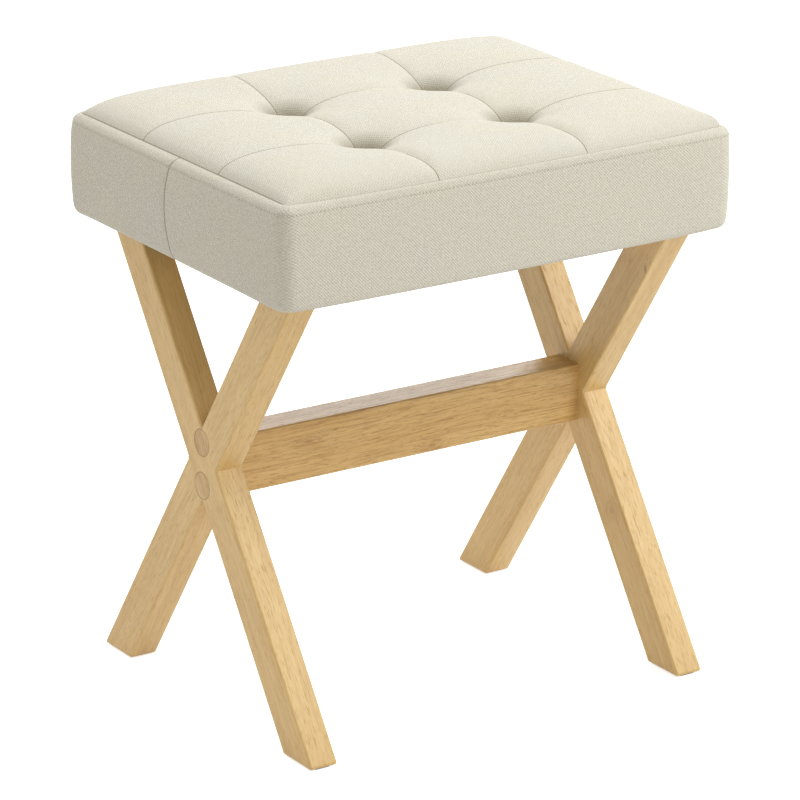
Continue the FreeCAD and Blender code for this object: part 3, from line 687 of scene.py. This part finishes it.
def close_underside(bm, layers, rim, under):
    """The band's lower edge drawn in to the underside's edge and joined to it."""
    bmesh.ops.extrude_edge_only(bm, edges=rim)
    for edge in [edge for edge in bm.edges if edge.is_boundary and edge.verts[0] not in under]:
        for vert in edge.verts:
            foot = vert[layers["foot"]]
            vert.co = (foot.x, foot.y, HEM_Z)
    bmesh.ops.remove_doubles(bm, verts=[vert for vert in bm.verts if vert.is_boundary], dist=0.01)


def seat_mesh():
    """Closed cushion: top grid, band extruded from its edge, and a flat underside."""
    bm = bmesh.new()
    layers = {name: bm.verts.layers.float.new(name) for name in PAINTED}
    layers |= {name: bm.verts.layers.float_vector.new(name) for name in ("way_out", "foot")}
    under = flat_sheets(bm, layers)
    rim = [edge for edge in bm.edges if edge.is_boundary and edge.verts[0] not in under]
    for vert in bm.verts:
        if vert not in under:
            raise_top(vert, layers)
    close_underside(bm, layers, band(bm, layers, rim), under)
    for vert in bm.verts:
        x, y = bowed(vert.co.x, vert.co.y)
        vert.co = Vector((x + SEAT_SHIFT_X, y, vert.co.z)) * MM
    bmesh.ops.recalc_face_normals(bm, faces=bm.faces[:])
    lay_weave(bm)
    for name in ("way_out", "foot"):
        bm.verts.layers.float_vector.remove(bm.verts.layers.float_vector[name])
    return as_mesh("seat_cushion", bm)


# Weave: how level a face is that counts as the top's or the underside's, how far above the seam
# every face does, in millimetres, and the shift in metres that sets the right half off the left
LEVEL_NORMAL = 0.75
TOP_FROM = 1.2
RIGHT_HALF_SHIFT = 0.37


def lay_weave(bm):
    """Weave coordinates in metres: flat on the top and underside, round the girth on the band."""
    weave = bm.loops.layers.uv.new("weave")
    flat_x, flat_y = (SEAM_HALF_X - SEAM_CORNER) * MM, (SEAM_HALF_Y - SEAM_CORNER) * MM
    turn_length = (SEAM_CORNER + BAND_PROFILE[-1][0]) * MM
    for face in bm.faces:
        middle = face.calc_center_median() - Vector((SEAT_SHIFT_X * MM, 0, 0))
        level = abs(face.normal.z) > LEVEL_NORMAL or middle.z > (SEAM_Z + TOP_FROM) * MM
        for loop in face.loops:
            x, y, z = loop.vert.co
            x -= SEAT_SHIFT_X * MM
            if level:
                loop[weave].uv = (x, y)
                continue
            over_x, over_y = max(0.0, abs(x) - flat_x), max(0.0, abs(y) - flat_y)
            turn = math.atan2(over_y, over_x) if over_x or over_y else 0.0
            along = min(abs(y), flat_y) + turn_length * turn + flat_x - min(abs(x), flat_x)
            if abs(middle.x) > flat_x and abs(middle.y) < flat_y:
                along = math.copysign(1, middle.y) * y
            side = math.copysign(1, middle.x) * math.copysign(1, middle.y)
            loop[weave].uv = (side * along + (RIGHT_HALF_SHIFT if middle.x > 0 else 0.0), z)


# Pieces

def as_mesh(name, bm):
    """A mesh that keeps what was built, which is then let go."""
    mesh = bpy.data.meshes.new(name)
    bm.to_mesh(mesh)
    bm.free()
    return mesh


def finished(name, mesh, material):
    """A new smooth object at the origin that rides on the stool."""
    piece = bpy.data.objects.new(name, mesh)
    bpy.context.scene.collection.objects.link(piece)
    mesh.materials.append(material)
    for face in mesh.polygons:
        face.use_smooth = True
    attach(piece, "root")
    return piece


def seat_cushion(material):
    """The padded seat, in place of the solid foam, band and panels."""
    piece = finished("seat_cushion", seat_mesh(), material)
    smooth = piece.modifiers.new("smooth", "SUBSURF")
    smooth.levels = smooth.render_levels = 1
    panels = ["cover_panel_%s_%s" % (row, column) for row in ("front", "centre", "back")
              for column in ("left", "middle", "right")]
    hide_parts("foam_pad", "cover_band", *panels)


# Cloth under the seat, in metres: its mesh's columns and rows, its thickness, and the ripples that
# die out towards its edges

DUST_GRID = (74, 56)
DUST_THICK = 0.0003
RIPPLE_SCALE = 22
RIPPLE = 0.00012
RIPPLE_EDGE = 0.02


def dust_cover(material):
    """Thin cloth under the seat, drawn tight between its staples."""
    low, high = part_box("dust_cover")
    half = (high - low) / 2
    bm = bmesh.new()
    bmesh.ops.create_grid(bm, x_segments=DUST_GRID[0], y_segments=DUST_GRID[1], size=0.5)
    for vert in bm.verts:
        x, y = vert.co.x * 2 * half.x, vert.co.y * 2 * half.y
        edge = min(half.x - abs(x), half.y - abs(y))
        ripple = noise.noise(Vector((x * RIPPLE_SCALE, y * RIPPLE_SCALE, 3.1))) * RIPPLE
        vert.co = (x, y, (low.z + high.z) / 2 + ripple * min(1, edge / RIPPLE_EDGE))
    piece = finished("dust_cover_cloth", as_mesh("dust_cover_cloth", bm), material)
    thick = piece.modifiers.new("cloth_thickness", "SOLIDIFY")
    thick.thickness = DUST_THICK
    thick.offset = 0
    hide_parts("dust_cover")


# Stitching, in millimetres

STITCH_LENGTH = 2.3
STITCH_PITCH = 3.3
STITCH_SUNK = 0.2
THREAD = 0.7


def band_sides():
    """Each side's corner where it starts, and its straight length, beginning with the right side."""
    flat_x, flat_y = SEAM_HALF_X - SEAM_CORNER, SEAM_HALF_Y - SEAM_CORNER
    return ((Vector((flat_x, -flat_y)), 2 * flat_y), (Vector((flat_x, flat_y)), 2 * flat_x),
            (Vector((-flat_x, flat_y)), 2 * flat_y), (Vector((-flat_x, -flat_y)), 2 * flat_x))


def round_band(along, radius):
    """Place, way out and its heading at a distance along the outline with corners of a radius."""
    quarter = radius * math.pi / 2
    for number, (corner, length) in enumerate(band_sides()):
        if along <= length + quarter:
            break
        along -= length + quarter
    heading = number * math.pi / 2
    run = Vector((-math.sin(heading), math.cos(heading)))
    heading += max(0.0, along - length) / radius
    way = Vector((math.cos(heading), math.sin(heading)))
    return corner + run * min(along, length) + way * radius, way, heading


def topstitching(material):
    """Short stitches in a row round the band, under the top seam."""
    out, level = BAND_PROFILE[TOPSTITCH_ROW]
    radius = SEAM_CORNER + out
    total = sum(length for corner, length in band_sides()) + 2 * math.pi * radius
    count = round(total / STITCH_PITCH)
    size = Vector((STITCH_LENGTH, THREAD, THREAD)) * MM / 2
    bm = bmesh.new()
    for number in range(count):
        centre, way, heading = round_band(total * number / count, radius)
        centre += way * (eased(out, seam_bow(centre.x, centre.y, way)) - out - STITCH_SUNK)
        x, y = bowed(centre.x, centre.y)
        place = Matrix.Translation(Vector((x + SEAT_SHIFT_X, y, level)) * MM)
        place @= Matrix.Rotation(heading + math.pi / 2, 4, "Z")
        place @= Matrix.Diagonal((*size, 1)) @ Matrix.Rotation(math.pi / 2, 4, "Y")
        bmesh.ops.create_uvsphere(bm, u_segments=6, v_segments=5, radius=1.0, matrix=place)
    finished("topstitching", as_mesh("topstitching", bm), material)


# Floor, air and lamps: name, place, size and watts of each

FLOOR_REACH = 30
FLOOR_GLOW = 0.7
AIR = (0.55, 0.531, 0.503, 1)
LAMPS = (("key_from_the_right", (1.6, -1.5, 2.1), 1.6, 42),
         ("fill_from_behind", (-0.3, 1.2, 2.4), 2.0, 22),
         ("low_light_behind", (1.5, 2.3, 1.15), 1.2, 13))
LAMP_AIM = Vector((0, 0, 0.25))


def seen(tree):
    """1 where the camera looks, also by a reflection or through glass, and 0 for lighting."""
    path = tree.nodes.new("ShaderNodeLightPath")
    share = path.outputs["Is Camera Ray"]
    for name in ("Is Glossy Ray", "Is Transmission Ray"):
        either = tree.nodes.new("ShaderNodeMath")
        either.operation = "MAXIMUM"
        tree.links.new(share, either.inputs[0])
        tree.links.new(path.outputs[name], either.inputs[1])
        share = either.outputs[0]
    return share


def studio():
    """Pale floor that shows white where it is seen, with the stool's soft shadow."""
    bm = bmesh.new()
    bmesh.ops.create_grid(bm, x_segments=1, y_segments=1, size=FLOOR_REACH)
    mesh = as_mesh("floor", bm)
    floor = bpy.data.objects.new("floor", mesh)
    bpy.context.scene.collection.objects.link(floor)
    paint = Finish("white_floor", 0.9)
    paint.shader.inputs["Base Color"].default_value = (0.8, 0.8, 0.8, 1)
    plain = paint.shader.outputs[0]
    glow = paint.add("ShaderNodeEmission", {"Color": WHITE, "Strength": FLOOR_GLOW}).outputs[0]
    lit = paint.add("ShaderNodeAddShader", {0: plain, 1: glow}).outputs[0]
    shown = paint.add("ShaderNodeMixShader", {0: seen(paint.tree), 1: plain, 2: lit}).outputs[0]
    paint.tree.links.new(shown, paint.tree.nodes["Material Output"].inputs["Surface"])
    mesh.materials.append(paint.material)


def air():
    """Warm and dim for lighting, white where it is seen."""
    world = bpy.data.worlds.new("studio_air")
    bpy.context.scene.world = world
    world.use_nodes = True
    tree = world.node_tree
    tone = tree.nodes.new("ShaderNodeMix")
    tone.data_type = "RGBA"
    tone.inputs[6].default_value = AIR
    tone.inputs[7].default_value = WHITE
    tree.links.new(seen(tree), tone.inputs[0])
    tree.links.new(tone.outputs[2], tree.nodes["Background"].inputs["Color"])


def lamp(name, place, size, watts):
    """A square lamp that points at the stool."""
    light = bpy.data.lights.new(name, "AREA")
    light.shape = "SQUARE"
    light.size = size
    light.energy = watts
    holder = bpy.data.objects.new(name, light)
    bpy.context.scene.collection.objects.link(holder)
    holder.location = place
    holder.rotation_euler = (LAMP_AIM - Vector(place)).to_track_quat("-Z", "Y").to_euler()


# Camera: millimetres for the lens, radians, and metres for the distance and the target

LENS = 213.58
AZIMUTH = -0.580354957
ELEVATION = 0.331973537
ROLL = 0.00198418975
DISTANCE = 3.6316
TARGET = Vector((-0.0011656, 0.0008554, 0.212675))


def camera():
    """The photograph's view."""
    view = bpy.data.cameras.new("photograph_view")
    view.lens = LENS
    view.sensor_width = 36
    view.clip_end = 200
    back = Vector((math.sin(AZIMUTH) * math.cos(ELEVATION), -math.cos(AZIMUTH) * math.cos(ELEVATION),
                   math.sin(ELEVATION)))
    right = (-back).cross(Vector((0, 0, 1))).normalized()
    up = right.cross(-back)
    across = right * math.cos(ROLL) + up * math.sin(ROLL)
    upright = up * math.cos(ROLL) - right * math.sin(ROLL)
    holder = bpy.data.objects.new("photograph_view", view)
    bpy.context.scene.collection.objects.link(holder)
    turned = Matrix((across, upright, back)).transposed()
    holder.matrix_world = Matrix.Translation(TARGET + back * DISTANCE) @ turned.to_4x4()
    bpy.context.scene.camera = holder


# Finishes of the kept solids: the legs' lean, and the knots and plug rims in metres on the stool

LEAN = math.radians(34.3)
LEG_KNOTS = {
    "leg_right_back_top": (((0.1552, -0.062, 0.111), (0.006, 0.014, 0.013), 0.3),),
    "leg_right_front_top": (((0.1552, -0.0995, 0.3175), (0.002, 0.0022, 0.005), 0.9),),
}
BAR_KNOTS = (((-0.0934, -0.0144, 0.2015), (0.02, 0.006, 0.006), 0.5),
             ((0.0183, -0.0144, 0.1769), (0.018, 0.006, 0.008), 0.4))
PLUG_RIMS = (0.0109, ((0, 0, 0.2124), (0, 0, 0.1782)))


def dress(node, material):
    """Gives a kept solid its finish."""
    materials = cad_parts[node].data.materials
    for number in range(len(materials)):
        materials[number] = material
    if not materials:
        materials.append(material)


def dress_wood():
    """Each leg has its own stretch of grain, and so have the other wooden pieces."""
    legs = [(side, end) for side in ("left", "right") for end in ("back", "front")]
    for number, (side, end) in enumerate(legs):
        node = "leg_%s_%s_top" % (side, end)
        dress(node, wood("wood_" + node, LEAN if end == "back" else -LEAN, "Z",
                         (0.3 * number, 0.11 * number, 0.07), LEG_TONES, 0.3,
                         LEG_KNOTS.get(node, ())))
    dress("stretcher", wood("wood_stretcher", 0, "X", (0.2, 0.05, 0.3), BAR_TONES, 0.6, BAR_KNOTS))
    dress("wood_plugs",
          wood("wood_plugs", 0.5, "Z", (0.1, 0.4, 0.2), PLUG_TONES, 0.8, rims=PLUG_RIMS))
    for side in ("left", "right"):
        dress("seat_rail_" + side,
              wood("wood_rail_" + side, 0, "Y", (0.7, 0.2, 0.1), LEG_TONES, 0.3))
    dress("stretcher_dowels", wood("wood_dowels", 0, "X", (0.4, 0.1, 0.6), PLUG_TONES, 0.2))


def dress_others():
    """Steel, felt, plywood and twine."""
    zinc = metal("zinc_plate", colour(206, 208, 206), colour(164, 166, 168), 0.35, 900.0)
    for node in ("stretcher_screws", "rail_screws", "seat_nuts", "hem_staples",
                 "dust_cover_staples", "bolt_washers", "tuft_washers"):
        dress(node, zinc)
    dress("seat_bolts", metal("black_oxide", colour(60, 60, 62), colour(34, 34, 36), 0.45, 700.0))
    dress("foot_pads", felt_pad())
    dress("seat_board", plywood())
    dress("tuft_twines", twine())


# Put together

camera()
seat_cushion(cover_cloth())
topstitching(stitch_thread())
dust_cover(dust_cloth())
dress_wood()
dress_others()
studio()
air()
for values in LAMPS:
    lamp(*values)
bpy.context.scene.view_settings.view_transform = "Standard"
